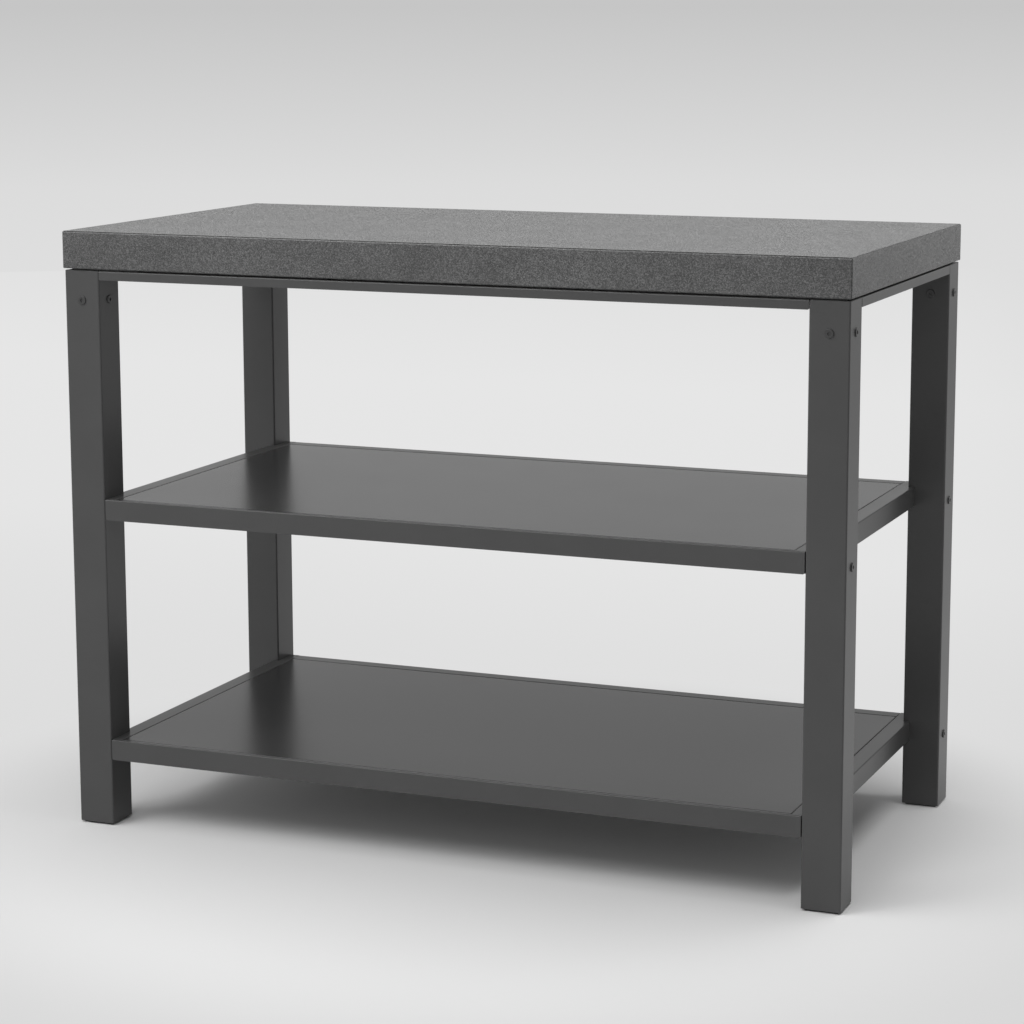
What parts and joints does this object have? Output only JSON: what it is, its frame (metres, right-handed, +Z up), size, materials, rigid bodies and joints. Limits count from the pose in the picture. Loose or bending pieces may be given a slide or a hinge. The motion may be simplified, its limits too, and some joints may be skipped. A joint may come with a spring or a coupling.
{
  "type": "outdoor kitchen storage table",
  "caption": "Free-standing outdoor kitchen table with a thick stone worktop on square-tube legs and two full-width open shelves below for storage.",
  "frame": {"origin": "on the floor under the middle of the table", "axes": "+X to the right along the worktop's length, -Y towards the front, +Z up"},
  "size_m": [1.2, 0.61, 0.9],
  "materials": {
    "stone": "fine-grained matt",
    "core_board": "raw moisture-proof board",
    "frame_paint": "satin powder coat",
    "shelf_sheet": "satin powder coat",
    "screw_heads": "satin black coated",
    "zinc_fixings": "zinc plated",
    "foot_plastic": "moulded",
    "pad_rubber": "matt"
  },
  "bodies": {
    "root": {"corner_bracket_back_left": "frame_paint", "corner_bracket_back_right": "frame_paint", "corner_bracket_front_left": "frame_paint", "corner_bracket_front_right": "frame_paint", "foot_back_left": "foot_plastic", "foot_back_right": "foot_plastic", "foot_front_left": "foot_plastic", "foot_front_right": "foot_plastic", "leg_back_left": "frame_paint", "leg_back_right": "frame_paint", "leg_front_left": "frame_paint", "leg_front_right": "frame_paint", "leg_screws": "screw_heads", "lower_shelf_back_rail": "frame_paint", "lower_shelf_front_rail": "frame_paint", "lower_shelf_left_rail": "frame_paint", "lower_shelf_panel": "shelf_sheet", "lower_shelf_right_rail": "frame_paint", "lower_shelf_stiffener_left": "shelf_sheet", "lower_shelf_stiffener_middle": "shelf_sheet", "lower_shelf_stiffener_right": "shelf_sheet", "middle_shelf_back_rail": "frame_paint", "middle_shelf_front_rail": "frame_paint", "middle_shelf_left_rail": "frame_paint", "middle_shelf_panel": "shelf_sheet", "middle_shelf_right_rail": "frame_paint", "middle_shelf_stiffener_left": "shelf_sheet", "middle_shelf_stiffener_middle": "shelf_sheet", "middle_shelf_stiffener_right": "shelf_sheet", "shelf_bolts": "screw_heads", "shelf_nuts": "zinc_fixings", "top_rail_back": "frame_paint", "top_rail_front": "frame_paint", "top_rail_left": "frame_paint", "top_rail_right": "frame_paint", "worktop_core": "core_board", "worktop_edge_back": "stone", "worktop_edge_front": "stone", "worktop_edge_left": "stone", "worktop_edge_right": "stone", "worktop_pads": "pad_rubber", "worktop_plate": "stone", "worktop_screws": "zinc_fixings"}
  },
  "joints": []
}
